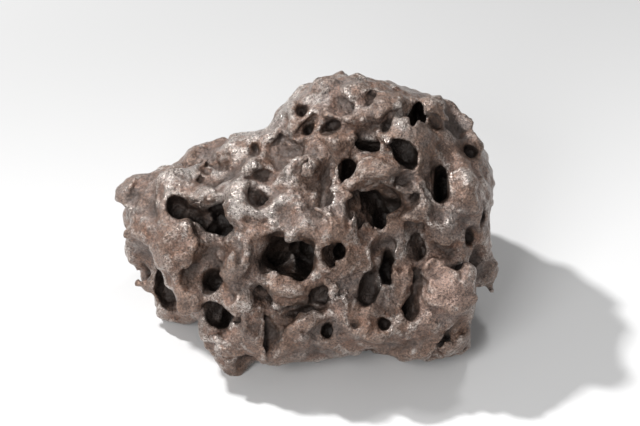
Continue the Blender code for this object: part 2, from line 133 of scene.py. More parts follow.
# The scoops and holes of the pitted side: (across, up), (wide, tall), turn, deep, (right, down), where
# right and down say how far more than the others it drifts for each millimetre that it goes in.
SCOOPS = (
    ((-84, 3), (46, 18), -22, 12, (0, 0)),
    ((-131, 18), (9, 24), 38, 7, (0, 0)),
    ((-142, -5), (12, 8), 0, 7, (0, 0)),
    ((-69, 16), (14, 10), 0, 5, (0, 0)),
    ((-48, 1), (14, 10), 20, 4, (0, 0)),
    ((-8, 60), (14, 11), 0, 4, (0, 0)),
    ((18, 38), (28, 22), 22, 9, (0, 0)),
    ((-16, -29), (54, 36), 5, 17, (0, 0)),
    ((61, 14), (48, 30), 8, 13, (0, 0)),
    ((49, 72), (28, 32), 0, 9, (0, 0)),
    ((108, 85), (28, 26), 0, 7, (0, 0)),
    ((80, 34), (18, 18), 0, 7, (0, 0)),
    ((102, 8), (20, 20), 0, 5, (0, 0)),
    ((126, 11), (13, 20), -8, 4, (0, 0)),
    ((121, -5), (9, 13), 0, 4, (0, 0)),
    ((62, -14), (10, 16), 5, 4, (0, 0)),
    ((106, -21), (22, 8), 0, 5, (0, 0)),
    ((120, -32), (7, 18), 0, 2, (0, 0)),
    ((129, -32), (7, 16), 0, 2, (0, 0)),
    ((-34, -60), (20, 16), 0, 9, (0, 0)),
    ((-74, -47), (30, 26), 0, 14, (0.2, 0)),
    ((-66, -77), (20, 30), -15, 13, (0.2, 0)),
    ((-95, -65), (14, 12), 0, 5, (0, 0)),
    ((-112, -56), (12, 20), 0, 9, (0, 0)),
    ((-44, -82), (16, 20), 0, 3, (0, 0)),
    ((86, -56), (10, 44), -8, 8, (0, 0)),
    ((81, -68), (13, 17), 0, 12, (0, 0)),
    ((89, -3), (16, 12), 10, 5, (0, 0)),
    ((89, -87), (26, 27), 0, 4, (0, 0)),
    ((116, -93), (16, 24), 20, 9, (0, 0)),
    ((140, 14), (7, 34), 0, 6, (0, 0)),
    ((10, -108), (14, 8), 0, 6, (0, 0)),
    ((9, -86), (16, 16), 0, 6, (0, 0)),
    ((-78, -30), (14, 26), 10, 6, (0, 0)),
    ((-26, -74), (14, 16), 0, 3, (0, 0)),
    ((62, -68), (26, 12), -10, 7, (0, 0)),
    ((84, 20), (20, 14), 30, 6, (0, 0)),
    ((16, 20), (24, 14), 20, 6, (0, 0)),
)
HOLES = (
    ((-101, 9), (21, 22), 0, 17, (0.2, 0.3)),
    ((-84, 3), (30, 11), -22, 15, (0.2, 0.5)),
    ((-68, -5), (28, 17), 22, 24, (0.1, 0.6)),
    ((-36, 20), (14, 19), 0, 17, (0.4, 0.4)),
    ((34, 38), (18, 26), 0, 30, (0, 0)),
    ((49, 58), (26, 13), 0, 18, (0, 0.2)),
    ((78, 53), (20, 14), -20, 16, (0.1, 0.2)),
    ((64, 74), (9, 10), -20, 6, (0.2, 0.2)),
    ((87, 82), (16, 34), -12, 34, (-0.1, -0.15)),
    ((102, 77), (10, 11), 0, 8, (0, 0)),
    ((131, 57), (14, 15), 0, 11, (-0.3, 0.1)),
    ((106, 29), (14, 38), 0, 32, (0, 0)),
    ((62, 12), (32, 20), 5, 16, (0, 0)),
    ((-18, -30), (30, 26), 0, 15, (0.1, 0)),
    ((-1, -29), (23, 36), 0, 34, (-0.1, 0)),
    ((27, -21), (15, 18), 0, 28, (0, 0)),
    ((63, -36), (12, 32), 0, 28, (-0.1, 0)),
    ((90, -24), (14, 20), 0, 13, (0.5, 0)),
    ((49, -54), (12, 14), -40, 12, (0.1, 0.1)),
    ((9, -58), (18, 15), 0, 7, (0.1, 0)),
    ((18, -88), (14, 17), 0, 16, (0.1, 0.1)),
    ((28, -88), (12, 9), 0, 4, (0, 0)),
    ((40, -82), (10, 8), 0, 5, (0, 0)),
    ((53, -87), (9, 9), 0, 6, (0, 0)),
    ((62, -80), (15, 16), -35, 10, (0.1, 0)),
    ((-3, -86), (9, 6), 0, 6, (0, 0)),
    ((130, -12), (12, 18), 10, 12, (-0.2, 0.1)),
    ((-3, 87), (11, 12), 0, 9, (0, 0.5)),
    ((2, 73), (12, 12), 0, 14, (0, 0.3)),
    ((22, 76), (16, 12), 0, 13, (0, 0.2)),
    ((-42, 58), (8, 8), 0, 6, (0, 0)),
    ((-16, 48), (6, 5), 0, 5, (0, 0)),
    ((-127, -42), (12, 7), 0, 4, (0, 0)),
    ((-72, -50), (20, 15), 0, 16, (0, 0)),
    ((-62, -78), (13, 18), 0, 12, (0, 0)),
)

# The grid.
REACH = ((-176.0, 176.0), (-140.0, 136.0), (-132.0, 120.0))  # mm, the box that it fills
PLAN_STEP = 3.0  # mm between its points while the hollows are placed
FAR = 60.0  # mm, the distance that the empty grid starts with
MARGIN = 14.0  # mm around a mass or a hollow that its soft edge may change
SLOPE_STEPS = 2  # of the grid, each way, over which the skin's slope is measured
TINY = 1e-12  # keeps a division off zero in a hollow's very middle
SEED = 5

# Waves of the skin, as (size, height), and of the hollows' outlines, as (size, how far they shift).
SWELLS = ((46.0, 3.0), (24.0, 4.0), (13.0, 1.6))
CREASES = ((17.0, 1.2), (8.0, 0.6))
BENDS = ((21.0, 2.4), (9.0, 0.8))
WAVE_GAIN = 2.5  # brings a wave of random knots to about -1 to 1
CREASE_GAIN = 3.0

# How softly masses, bumps and hollows meet the skin, in mm.
MASS_BLEND = 10.0
BUMP_BLEND = 4.0
SCOOP_BLEND = 5.0
RIM_BLEND = 3.0
HOLE_BLEND = 1.6

# The front's hollows. A scoop's floor falls to the lower right, and a hole drifts that way as it goes in.
STRAIGHT_IN = 0.6  # share of the drawing plane's direction in the way that a hollow goes in
SKIN_IN = 0.5  # share of the skin's own direction
SCOOP_TILT = -0.45
SCOOP_TRIM = 0.86  # of its size, which the soft edge gives back
SCOOP_OPENNESS = 0.55  # how far its ellipsoid's middle stands out of its mouth, as a share of its half depth
HOLE_TILT = 0.15
HOLE_TRIM = 0.92
HOLE_OPENNESS = 0.15
HOLE_RETURN = 0.3  # share of the drift that moves the mouth back
BOWL = 1.2  # how much wider than a hole the bowl around its mouth is
BOWL_SHIFT = 0.28  # how far the bowl lies to the upper left, as a share of the hole's size
BOWL_DEPTHS = (2.0, 0.1, 4.5)  # mm at least, more for each mm of the hole, and mm at most

# Dishes all over: (tries, (narrowest, widest), depth for each mm of width, blend, calm on the front).
DISHES = ((900, (20.0, 38.0), 0.24, 2.5, 0.85), (2600, (9.0, 18.0), 0.16, 1.6, 0.3))
DISH_OPENNESS = 0.7
FRONT_GAIN = 2.2  # how soon a turn to the front calms the dishes
DISH_SPACING = 0.4  # of two neighbours' widths together
DISH_LEAST = 0.6  # share of its depth that the shallowest dish has

# Deep pits on the sides that face away.
PIT_TRIES = 260
PIT_WIDTHS = (9, 12, 16, 22, 30)  # mm
PIT_TALLS = (0.7, 1.3)  # of its width
PIT_DEPTHS = (0.3, 1.0)
PIT_TURNS = (0, 90)  # degrees
PIT_FACING = -0.05  # how far a pit's skin may face the front, from -1 to 1
PIT_SPACING = 0.6
PIT_OPENNESS = 0.2
PIT_DRIFT = 0.3
PIT_BOWL = 1.4
PIT_BOWL_DEPTHS = (3.0, 0.3)  # mm, and more for each mm of the pit

# Where the lines that look for the skin all round start: (across, up, out) in mm.
AROUND = (168.0, 131.0, 117.0)


class Grid:
    """Points at an even step in the box REACH, with the field's value at each of them."""

    def __init__(self, step):
        self.step = step
        self.axes = [np.arange(low, high, step) for low, high in REACH]
        self.field = np.full([len(axis) for axis in self.axes], FAR, dtype=np.float32)
        self.bends = []

    def join(self, shape, blend):
        spans, other = self.distances(shape)
        self.field[spans] = soft_least(self.field[spans], other, blend)

    def take(self, shape, blend):
        spans, other = self.distances(shape)
        self.field[spans] = -soft_least(-self.field[spans], other, blend)

    def distances(self, shape):
        """The part of the grid near an ellipsoid, and roughly how far its points are from it."""
        centre, half_sizes, turn = shape
        reach = max(half_sizes) + MARGIN
        spans = []
        for axis, middle in zip(self.axes, centre):
            spans.append(slice(*np.searchsorted(axis, (middle - reach, middle + reach))))
        spans = tuple(spans)
        apart = [axis[span] - middle for axis, span, middle in zip(self.axes, spans, centre)]
        apart = np.meshgrid(*apart, indexing="ij", sparse=True)
        if self.bends:
            apart = [part + bend[spans] for part, bend in zip(apart, self.bends)]
        near = slope = 0
        for direction, half in zip(np.array(turn.transposed()), half_sizes):
            along = sum(share * part for share, part in zip(direction, apart)) / half
            near = near + along**2
            slope = slope + (along / half) ** 2
        near = np.sqrt(near)
        return spans, near * (near - 1) / np.sqrt(slope + TINY)

    def wave(self, size, rng):
        """Smooth random values, mostly from -1 to 1, that change over a size: a cubic spline over knots."""
        shares = []
        for (low, high), axis in zip(REACH, self.axes):
            knots = np.arange(low - 2 * size, high + 2 * size, size)
            apart = np.abs(axis[:, None] - knots) / size
            close = 2 / 3 - apart**2 + apart**3 / 2
            shares.append(np.where(apart < 1, close, np.clip(2 - apart, 0, 2) ** 3 / 6))
        values = rng.uniform(-1, 1, [share.shape[1] for share in shares])
        for share in shares:
            values = np.tensordot(values, share, (0, 1))
        return (WAVE_GAIN * values).astype(np.float32)

    def value(self, place):
        spot = [int(round((at - axis[0]) / self.step)) for at, axis in zip(place, self.axes)]
        return float(self.field[tuple(spot)])

    def outward(self, place):
        """The way that the skin near a place faces."""
        slope = Vector()
        reach = SLOPE_STEPS * self.step
        for number in range(3):
            ahead = Vector(place)
            ahead[number] += reach
            behind = Vector(place)
            behind[number] -= reach
            slope[number] = self.value(ahead) - self.value(behind)
        return slope.normalized()

    def front(self, across, up):
        """The place on the skin that the front shows at (across, up), and the way that it faces."""
        column = [int(round((at - axis[0]) / self.step)) for at, axis in zip((across, up), self.axes)]
        line = self.field[column[0], column[1]]
        last = np.flatnonzero(line < 0)[-1]
        out = self.axes[2][last] + self.step * line[last] / (line[last] - line[last + 1])
        place = Vector((across, up, out))
        return place, self.outward(place)

    def around(self, mark):
        """The place on the skin that a line from far off in the direction of mark meets first."""
        if mark.length > 1:
            return None
        start = Vector(AROUND) * mark.normalized()
        for share in np.linspace(1, 0, int(AROUND[0])):
            place = start * share
            if self.value(place) < 0:
                return place, self.outward(place)
        return None

    def skin(self):
        """Points and four-sided faces of the zero surface: a point for each cell that it crosses."""
        inside = self.field < 0
        crossings, corners = [], []
        for number in range(3):
            along = np.roll((1, 0, 0), number)
            side, above = np.roll(along, 1), np.roll(along, 2)
            start = np.argwhere(np.diff(inside, axis=number))
            before, after = self.field[tuple(start.T)], self.field[tuple((start + along).T)]
            crossings.append(start + (before / (before - after))[:, None] * along)
            cells = np.stack([start - side - above, start - above, start, start - side], axis=1)
            backward = ~inside[tuple(start.T)]
            cells[backward] = cells[backward][:, ::-1]
            corners.append(cells)
        crossings, corners = np.concatenate(crossings), np.concatenate(corners)
        cells = np.ravel_multi_index(corners.reshape(-1, 3).T, self.field.shape)
        _, faces = np.unique(cells, return_inverse=True)
        faces = faces.reshape(-1)
        points = [np.bincount(faces, np.repeat(line, 4)) / np.bincount(faces) for line in crossings.T]
        low_corner = [low for low, high in REACH]
        return np.stack(points, axis=1) * self.step + low_corner, faces.reshape(-1, 4)


def soft_least(first, second, blend):
    """The smaller of two fields, rounded off where they are alike."""
    share = np.clip(0.5 + 0.5 * (first - second) / blend, 0, 1)
    return first + share * (second - first) - blend * share * (1 - share)


def turned(degrees):
    return Matrix.Rotation(math.radians(degrees), 3, "Z")


def hollow(mouth, inward, size, turn, openness):
    """The ellipsoid of a hollow with its mouth in the skin, as its middle, half sizes and turn."""
    wide, tall, deep = size
    reach = deep / (1 - openness)
    spread = 0.5 / math.sqrt(1 - openness**2)
    swing = Vector((0, 0, -1)).rotation_difference(inward).to_matrix()
    return mouth - inward * reach * openness, (wide * spread, tall * spread, reach), swing @ turned(turn)


def front_hollow(grid, place, size, turn, drift, openness):
    mouth, outward = grid.front(*place)
    right, down = drift
    inward = Vector((right, -down, -STRAIGHT_IN)) - outward * SKIN_IN
    return hollow(mouth, inward.normalized(), size, turn, openness)


def bump(grid, place, size):
    middle, outward = grid.front(*place)
    wide, tall, high = size
    swing = Vector((0, 0, 1)).rotation_difference(outward).to_matrix()
    return middle, (wide / 2, tall / 2, high), swing


class Plan:
    """The bumps and hollows in the order in which they are made, placed on a coarse grid."""

    def __init__(self):
        rng = np.random.default_rng(SEED)
        self.steps = []
        self.grid = Grid(PLAN_STEP)
        shape_masses(self.grid, rng)
        self.add_bumps()
        self.add_scoops()
        self.add_holes()
        for dishes in DISHES:
            self.add_dishes(*dishes, rng)
        self.add_pits(rng)

    def join(self, shape, blend):
        self.steps.append((True, shape, blend))
        self.grid.join(shape, blend)

    def take(self, shape, blend):
        self.steps.append((False, shape, blend))
        self.grid.take(shape, blend)

    def add_bumps(self):
        for place, (wide, tall), high in BUMPS:
            self.join(bump(self.grid, place, (wide, tall, high)), BUMP_BLEND)

    def add_scoops(self):
        for place, (wide, tall), turn, deep, (right, down) in SCOOPS:
            size = (wide * SCOOP_TRIM, tall * SCOOP_TRIM, deep)
            tilt = (right + SCOOP_TILT, down + SCOOP_TILT)
            self.take(front_hollow(self.grid, place, size, turn, tilt, SCOOP_OPENNESS), SCOOP_BLEND)

    def add_holes(self):
        least, more, most = BOWL_DEPTHS
        bowls = []
        for (across, up), (wide, tall), turn, deep, drift in HOLES:
            place = (across - BOWL_SHIFT * wide, up + BOWL_SHIFT * tall)
            size = (wide * BOWL, tall * BOWL, min(most, least + more * deep))
            tilt = (SCOOP_TILT, SCOOP_TILT)
            bowls.append(front_hollow(self.grid, place, size, turn, tilt, SCOOP_OPENNESS))
        for bowl in bowls:
            self.take(bowl, SCOOP_BLEND)
        for (across, up), (wide, tall), turn, deep, (right, down) in HOLES:
            size = (wide * HOLE_TRIM, tall * HOLE_TRIM, deep)
            tilt = (right + HOLE_TILT, down + HOLE_TILT)
            back = deep * HOLE_RETURN
            place = (across - tilt[0] * back, up + tilt[1] * back)
            self.take(front_hollow(self.grid, place, size, turn, tilt, HOLE_OPENNESS), HOLE_BLEND)

    def add_dishes(self, tries, widths, steepness, blend, calm, rng):
        taken = []
        for mark, lot in zip(rng.uniform(-1, 1, (tries, 3)), rng.uniform(0, 1, (tries, 2))):
            found = self.grid.around(Vector(mark))
            width = between(widths, lot[0])
            if found is None or crowded(found[0], width, taken, DISH_SPACING):
                continue
            place, outward = found
            taken.append((place, width))
            deep = width * steepness * between((DISH_LEAST, 1), lot[1])
            deep *= 1 - calm * min(max(0.0, FRONT_GAIN * outward.z), 1)
            self.take(hollow(place, -outward, (width, width, deep), 0, DISH_OPENNESS), blend)

    def add_pits(self, rng):
        taken = []
        least, more = PIT_BOWL_DEPTHS
        for mark, lot in zip(rng.uniform(-1, 1, (PIT_TRIES, 3)), rng.uniform(0, 1, (PIT_TRIES, 4))):
            found = self.grid.around(Vector(mark))
            wide = PIT_WIDTHS[int(lot[0] * len(PIT_WIDTHS))]
            if found is None or found[1].z > PIT_FACING or crowded(found[0], wide, taken, PIT_SPACING):
                continue
            place, outward = found
            taken.append((place, wide))
            tall = wide * between(PIT_TALLS, lot[1])
            deep = wide * between(PIT_DEPTHS, lot[2])
            turn = between(PIT_TURNS, lot[3])
            drift = PIT_DRIFT * lot[3]
            inward = (Vector((drift, -drift, 0)) - outward).normalized()
            bowl = (wide * PIT_BOWL, tall * PIT_BOWL, least + more * deep)
            self.take(hollow(place, inward, bowl, turn, SCOOP_OPENNESS), RIM_BLEND)
            self.take(hollow(place, inward, (wide, tall, deep), turn, PIT_OPENNESS), HOLE_BLEND)


def between(limits, share):
    low, high = limits
    return low + (high - low) * share


def crowded(place, width, taken, spacing):
    return any((place - other).length < (width + room) * spacing for other, room in taken)


def shape_masses(grid, rng):
    for centre, half_sizes, turn in LUMPS:
        grid.join((centre, half_sizes, turned(turn)), MASS_BLEND)
    for size, height in SWELLS:
        grid.field += height * grid.wave(size, rng)
    grid.bends = [sum(far * grid.wave(size, rng) for size, far in BENDS) for number in range(3)]


def crease(grid, rng):
    """Lays rounded lumps with sharp valleys between them over skin and hollows alike."""
    for size, height in CREASES:
        grid.field -= height * (CREASE_GAIN * np.abs(grid.wave(size, rng)) - 1)


def shape_lump(step, rounds):
    plan = Plan()
    grid = Grid(step)
    shape_masses(grid, np.random.default_rng(SEED))
    for joined, shape, blend in plan.steps:
        if joined:
            grid.join(shape, blend)
        else:
            grid.take(shape, blend)
    fine = np.random.default_rng(SEED + 1)
    crease(grid, fine)
    roughen(grid, fine)
    points, faces = grid.skin()
    mesh = bpy.data.meshes.new("meteorite_crust")
    mesh.from_pydata((points * MM).tolist(), [], faces.tolist())
    lump = bpy.data.objects.new("meteorite_crust", mesh)
    bpy.context.scene.collection.objects.link(lump)
    remesh(lump, step, rounds)
    keep_largest_piece(lump)
    return lump


def remesh(obj, step, rounds):
    """Gives obj one even closed skin, smoothed a little."""
    skin = obj.modifiers.new("skin", "REMESH")
    skin.mode = "VOXEL"
    skin.voxel_size = step * MM
    soften = obj.modifiers.new("soften", "SMOOTH")
    soften.factor = SKIN_SOFTNESS
    soften.iterations = rounds
    settle(obj)


def settle(obj):
    """Applies every modifier of obj."""
    graph = bpy.context.evaluated_depsgraph_get()
    mesh = bpy.data.meshes.new_from_object(obj.evaluated_get(graph))
    obj.modifiers.clear()
    obj.data = mesh


def keep_largest_piece(obj):
    """Deletes what the holes have cut off from the main body."""
    shell = bmesh.new()
    shell.from_mesh(obj.data)
    waiting = set(shell.verts)
    pieces = []
    while waiting:
        piece = set()
        front = [waiting.pop()]
        while front:
            vertex = front.pop()
            piece.add(vertex)
            for edge in vertex.link_edges:
                other = edge.other_vert(vertex)
                if other in waiting:
                    waiting.remove(other)
                    front.append(other)
        pieces.append(piece)
    pieces.sort(key=len)
    for piece in pieces[:-1]:
        bmesh.ops.delete(shell, geom=list(piece), context="VERTS")
    shell.to_mesh(obj.data)
    shell.free()


# The scene's own fine relief: the small lumps and grains that the solid leaves out.
FINE_CREASES = ((5.0, 0.35), (3.2, 0.3))
GRAIN = (2.6, 0.3)


def roughen(grid, rng):
    for size, height in FINE_CREASES:
        grid.field -= height * (CREASE_GAIN * np.abs(grid.wave(size, rng)) - 1)
    size, height = GRAIN
    grid.field += height * grid.wave(size, rng)


# How the triangles are shared out between the front and the back.
SHARES = 10  # steps from the back to the front
FACING_MIDDLE, FACING_GAIN = 0.55, 0.45  # what skin seen edge on counts, and what facing the front adds
FRONT_FAVOUR = 2.0


def thin_out(obj):
    """Spends the triangles mostly on the side that faces the camera."""
    front = obj.vertex_groups.new(name="front")
    outward = point_values(obj.data, "normal")[:, 2]
    facing = np.clip(FACING_MIDDLE + FACING_GAIN * outward, 0, 1)
    for share in range(SHARES + 1):
        chosen = np.flatnonzero(np.round(facing * SHARES) == share)
        front.add(chosen.tolist(), 1 - share / SHARES, "REPLACE")
    thin = obj.modifiers.new("facets", "DECIMATE")
    thin.ratio = TRIANGLES / sum(len(face.vertices) - 2 for face in obj.data.polygons)
    thin.vertex_group = "front"
    thin.vertex_group_factor = FRONT_FAVOUR
    settle(obj)
    obj.vertex_groups.clear()


def stand_on_floor(lump):
    """Leans the lump back, centres it over the origin, cuts its feet flat and returns its place."""
    tilt = Euler((math.radians(90 - LEAN), 0, 0))
    places = [tilt.to_matrix() @ vertex.co for vertex in lump.data.vertices]
    middle_x = (min(place.x for place in places) + max(place.x for place in places)) / 2
    middle_y = (min(place.y for place in places) + max(place.y for place in places)) / 2
    placed = Matrix.Translation((-middle_x, -middle_y, ORIGIN_HEIGHT * MM)) @ tilt.to_matrix().to_4x4()
    lump.data.transform(placed)

    block = bmesh.new()
    bmesh.ops.create_cube(block, size=FLOOR_CUT, matrix=Matrix.Translation((0, 0, -FLOOR_CUT / 2)))
    mesh = bpy.data.meshes.new("floor_cut")
    block.to_mesh(mesh)
    block.free()
    cutter = bpy.data.objects.new("floor_cut", mesh)
    bpy.context.scene.collection.objects.link(cutter)
    flat = lump.modifiers.new("feet", "BOOLEAN")
    flat.operation = "DIFFERENCE"
    flat.solver = "EXACT"
    flat.object = cutter
    settle(lump)
    bpy.data.objects.remove(cutter)
    return placed


def point_values(mesh, name):
    """Each point's co or normal, as rows of three."""
    values = np.empty(len(mesh.vertices) * 3)
    mesh.vertices.foreach_get(name, values)
    return values.reshape(-1, 3)


def neighbour_mean(values, edges, count):
    """The mean of each point's neighbours."""
    total = np.zeros_like(values)
    for axis in range(values.shape[1]):
        total[:, axis] = np.bincount(edges[:, 0], values[edges[:, 1], axis], count)
        total[:, axis] += np.bincount(edges[:, 1], values[edges[:, 0], axis], count)
    return total / np.bincount(edges.ravel(), minlength=count)[:, None]


def store(mesh, name, values):
    layer = mesh.attributes.new(name, "FLOAT", "POINT")
    layer.data.foreach_set("value", values.astype(np.float32))


# How many rounds of smoothing each measure of relief compares the skin with.
RELIEF_ROUNDS = (("ridge", 10), ("relief", 90))


def measure_relief(obj):
    """Stores how far each point stands out of its surroundings: ridge for near ones, relief for wide."""
    mesh = obj.data
    count = len(mesh.vertices)
    places = point_values(mesh, "co")
    normals = point_values(mesh, "normal")
    edges = np.empty(len(mesh.edges) * 2, dtype=np.int64)
    mesh.edges.foreach_get("vertices", edges)
    edges = edges.reshape(-1, 2)
    smooth = places
    done = 0
    for name, rounds in RELIEF_ROUNDS:
        while done < rounds:
            smooth = neighbour_mean(smooth, edges, count)
            done += 1
        store(mesh, name, ((places - smooth) * normals).sum(axis=1) / MM)


SKY_RAYS = 14
SKY_START = 0.3  # mm, how far off its skin a point looks out
SKY_REACH = 60.0  # mm, beyond which a wall hides no sky


def measure_openness(obj):
    """Stores how much of the sky above its skin each point sees, from 0 to 1."""
    mesh = obj.data
    places = [vertex.co for vertex in mesh.vertices]
    faces = [tuple(face.vertices) for face in mesh.polygons]
    tree = BVHTree.FromPolygons(places, faces)
    rays = []
    for step in range(SKY_RAYS):
        high = math.sqrt(1 - (step + 0.5) / SKY_RAYS)
        turn = step * math.pi * (3 - math.sqrt(5))  # by the golden angle, which spreads the rays evenly
        flat = math.sqrt(1 - high * high)
        rays.append(Vector((flat * math.cos(turn), flat * math.sin(turn), high)))
    seen = np.zeros(len(mesh.vertices))
    for vertex in mesh.vertices:
        square = vertex.normal.to_track_quat("Z", "X").to_matrix()
        start = vertex.co + vertex.normal * SKY_START * MM
        clear = sum(tree.ray_cast(start, square @ ray, SKY_REACH * MM)[0] is None for ray in rays)
        seen[vertex.index] = clear / SKY_RAYS
    store(mesh, "open_sky", seen)


# The numbers of the sockets by which a Mix node blends colours.
MIX_SHARE, MIX_FIRST, MIX_SECOND, MIX_RESULT = 0, 6, 7, 2


class Nodes:
    """A short way to write a material's node tree."""

    def __init__(self, material):
        material.use_nodes = True
        self.tree = material.node_tree
        self.shader = self.tree.nodes["Principled BSDF"]

    def add(self, kind, links=(), **settings):
        node = self.tree.nodes.new(kind)
        for name, value in settings.items():
            setattr(node, name, value)
        for socket, value in dict(links).items():
            self.put(node.inputs[socket], value)
        return node

    def put(self, socket, value):
        if isinstance(value, bpy.types.NodeSocket):
            self.tree.links.new(value, socket)
        elif isinstance(value, tuple) and len(value) == 3 and socket.type == "RGBA":
            socket.default_value = (*value, 1)
        else:
            socket.default_value = value

    def attribute(self, name):
        return self.add("ShaderNodeAttribute", attribute_name=name).outputs["Fac"]

    def noise(self, place, scale, detail, roughness, distortion):
        sockets = {"Vector": place, "Scale": scale, "Detail": detail, "Roughness": roughness}
        sockets["Distortion"] = distortion
        return self.add("ShaderNodeTexNoise", sockets).outputs["Fac"]

    def ramp(self, value, low, high, start=0.0, end=1.0):
        sockets = {"Value": value, "From Min": low, "From Max": high, "To Min": start, "To Max": end}
        return self.add("ShaderNodeMapRange", sockets, interpolation_type="SMOOTHSTEP").outputs["Result"]

    def fade(self, value, limits):
        (low, high), (least, most) = limits
        return self.ramp(value, low, high, least, most)

    def math(self, kind, first, second, clamp=False):
        return self.add("ShaderNodeMath", {0: first, 1: second}, operation=kind, use_clamp=clamp).outputs[0]

    def mix(self, share, first, second):
        sockets = {MIX_SHARE: share, MIX_FIRST: first, MIX_SECOND: second}
        return self.add("ShaderNodeMix", sockets, data_type="RGBA").outputs[MIX_RESULT]

    def bump(self, height, distance, strength=1.0, before=None):
        node = self.add("ShaderNodeBump", {"Height": height, "Distance": distance, "Strength": strength})
        if before is not None:
            self.put(node.inputs["Normal"], before)
        return node.outputs["Normal"]


# Colours of the crust, linear. The deepest also serves as painted shade in the holes.
DEEP_CRUST_AND_SHADE = (0.024, 0.016, 0.012)
DARK = (0.040, 0.027, 0.021)
BROWN = (0.200, 0.112, 0.074)
RUST = (0.260, 0.120, 0.068)
TAN = (0.450, 0.295, 0.235)
GREY = (0.205, 0.158, 0.138)
WORN = (0.330, 0.222, 0.166)
PALE = (0.480, 0.322, 0.238)
BARE_IRON = (0.66, 0.61, 0.57)

# The long slope down to the low end, which faces the key light, is painted brightest: painted sheen on top
# of its wear. Where it fades in along X and along Z, in metres, and by how much.
SLOPE_ACROSS = (0.03, -0.04)
SLOPE_HIGH = (0.105, 0.140)
SLOPE_SHEEN_GAIN = 0.14

# The boss low on the right is pinkish: its middle in the model's frame and its reach, in metres.
BOSS = (0.107, -0.078, 0.090)
BOSS_REACH = 0.045

# Patches laid over the brown crust in turn: the noise's (scale, detail, roughness, distortion), the values
# between which a patch fades in, how much of it covers, and its colour. Scales are lumps for each metre.
PATCHES = (
    ((28, 4, 0.6, 0.6), (0.40, 0.64), 1.0, GREY),
    ((41, 4, 0.65, 1.0), (0.48, 0.68), 0.6, RUST),
    ((19, 3, 0.6, 0.0), (0.50, 0.70), 0.5, TAN),
)

# Noises of the crust, as (scale, detail, roughness, distortion).
GRAIN_NOISE = (600, 4, 0.72, 0.5)
SPECKLE_NOISE = (1100, 2, 0.6, 0.0)
RIDGE_NOISE = (38, 4, 0.7, 0.0)
POLISH_NOISE = (52, 5, 0.72, 0.4)
GLOSS_NOISE = (240, 3, 0.6, 0.0)
BUMP_NOISE = (260, 4, 0.65, 0.0)
PIT_SCALE = 420.0

# Where each effect fades in, as (from, to) of its measure, then (least, most) of the effect.
BOSS_TINT = ((BOSS_REACH, 0), (0, 0.9))
WORN_TOPS = ((0.8, 4.0), (0, 0.4))  # mm of relief
DARK_GRAIN = ((0.54, 0.38), (0, 0.75))
PALE_GRAIN = ((0.53, 0.70), (0, 0.6))
DARK_SPECKLE = ((0.49, 0.36), (0, 0.5))
DARK_HOLLOWS = ((0.5, -3.0), (0, 0.75))  # mm of relief
HOLE_CRUST_AND_SHADE = ((0.58, 0.10), (0, 0.92))  # share of the sky seen. Dark crust deep in the holes, and painted shade where little sky is seen
WORN_RIDGES = ((0.0, 0.80), (0, 1))  # mm of ridge
RIDGE_PATCHES = ((0.46, 0.64), (0, 1))
RIDGE_GRAIN = ((0.42, 0.60), (0, 1))
POLISH_PATCHES = ((0.53, 0.66), (0, 1))
POLISH_RELIEF = ((-0.8, 1.2), (0, 1))  # mm of relief
POLISH_GRAIN = ((0.36, 0.54), (0, 1))
POLISH_MOST = 0.7
METAL = ((0, POLISH_MOST), (0.55, 0.95))
ROUGHNESS = ((0.35, 0.65), (0.30, 0.52))
SMOOTHED = ((0, POLISH_MOST), (1, 0.75))  # what wear leaves of the roughness

# Heights of the crust's bumps in metres, and the strength of the pits'.
BUMP_HEIGHT, PIT_HEIGHT, SPECKLE_HEIGHT = 0.0022, 0.0008, 0.0008
PIT_STRENGTH = 0.8
SPECULAR, COAT, COAT_ROUGHNESS = 0.7, 0.5, 0.28


def crust_colour(nodes, place, grain, speckle):
    relief = nodes.attribute("relief")
    colour = BROWN
    for noise, fade, most, tint in PATCHES:
        colour = nodes.mix(nodes.ramp(nodes.noise(place, *noise), *fade, 0, most), colour, tint)
    near = nodes.add("ShaderNodeVectorMath", {0: place, 1: BOSS}, operation="DISTANCE").outputs["Value"]
    for measure, limits, tint in (
        (near, BOSS_TINT, TAN),
        (relief, WORN_TOPS, WORN),
        (grain, DARK_GRAIN, DARK),
        (grain, PALE_GRAIN, PALE),
        (speckle, DARK_SPECKLE, DARK),
        (relief, DARK_HOLLOWS, DARK),
        # Dark crust deep in the holes, and painted shade where the skin sees little sky.
        (nodes.attribute("open_sky"), HOLE_CRUST_AND_SHADE, DEEP_CRUST_AND_SHADE),
    ):
        colour = nodes.mix(nodes.fade(measure, limits), colour, tint)
    return colour


def bare_metal_and_sheen(nodes, place, grain):
    """Where the crust is worn to metal: on its ridges, and in patches of what stands out, with more on the
    long slope that faces the key light, which is painted sheen as well as wear.
    """
    wear = nodes.fade(nodes.attribute("ridge"), WORN_RIDGES)
    wear = nodes.math("MULTIPLY", wear, nodes.fade(nodes.noise(place, *RIDGE_NOISE), RIDGE_PATCHES))
    wear = nodes.math("MULTIPLY", wear, nodes.fade(grain, RIDGE_GRAIN), clamp=True)
    # Painted sheen: more of the crust turns to bright metal on the slope that faces the key light.
    parts = nodes.add("ShaderNodeSeparateXYZ", {"Vector": place}).outputs
    across = nodes.ramp(parts["X"], *SLOPE_ACROSS)
    high = nodes.ramp(parts["Z"], *SLOPE_HIGH)
    slope = nodes.math("MULTIPLY", across, high)
    patchy = nodes.math("ADD", nodes.noise(place, *POLISH_NOISE), nodes.math("MULTIPLY", slope, SLOPE_SHEEN_GAIN))
    polish_and_sheen = nodes.fade(patchy, POLISH_PATCHES)
    polish_and_sheen = nodes.math("MULTIPLY", polish_and_sheen, nodes.fade(nodes.attribute("relief"), POLISH_RELIEF))
    polish_and_sheen = nodes.math("MULTIPLY", polish_and_sheen, nodes.fade(grain, POLISH_GRAIN), clamp=True)
    return nodes.math("MAXIMUM", wear, nodes.math("MULTIPLY", polish_and_sheen, POLISH_MOST))


